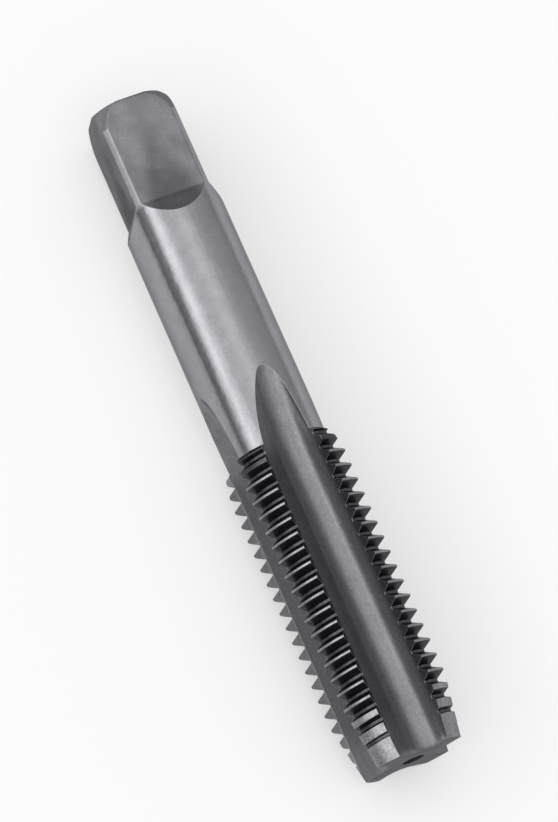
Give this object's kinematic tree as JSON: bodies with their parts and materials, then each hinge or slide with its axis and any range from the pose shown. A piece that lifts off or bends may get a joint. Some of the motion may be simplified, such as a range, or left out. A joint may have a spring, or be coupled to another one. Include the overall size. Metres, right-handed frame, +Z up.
{
  "type": "thread tap",
  "caption": "Straight-fluted hand tap with a lead chamfer, a plain round shank and a driving square, for cutting a coarse 20 mm right-hand thread.",
  "frame": {"origin": "under the middle of the bounding box, at the height of the two lower land edges", "axes": "+X along the tap's axis towards its cutting end, +Z up, +Y to the left when looking along +X"},
  "size_m": [0.1134, 0.0174, 0.0173],
  "materials": {
    "tool_steel": "ground, satin to bright"
  },
  "bodies": {
    "root": {"thread_tap": "tool_steel"}
  },
  "joints": []
}
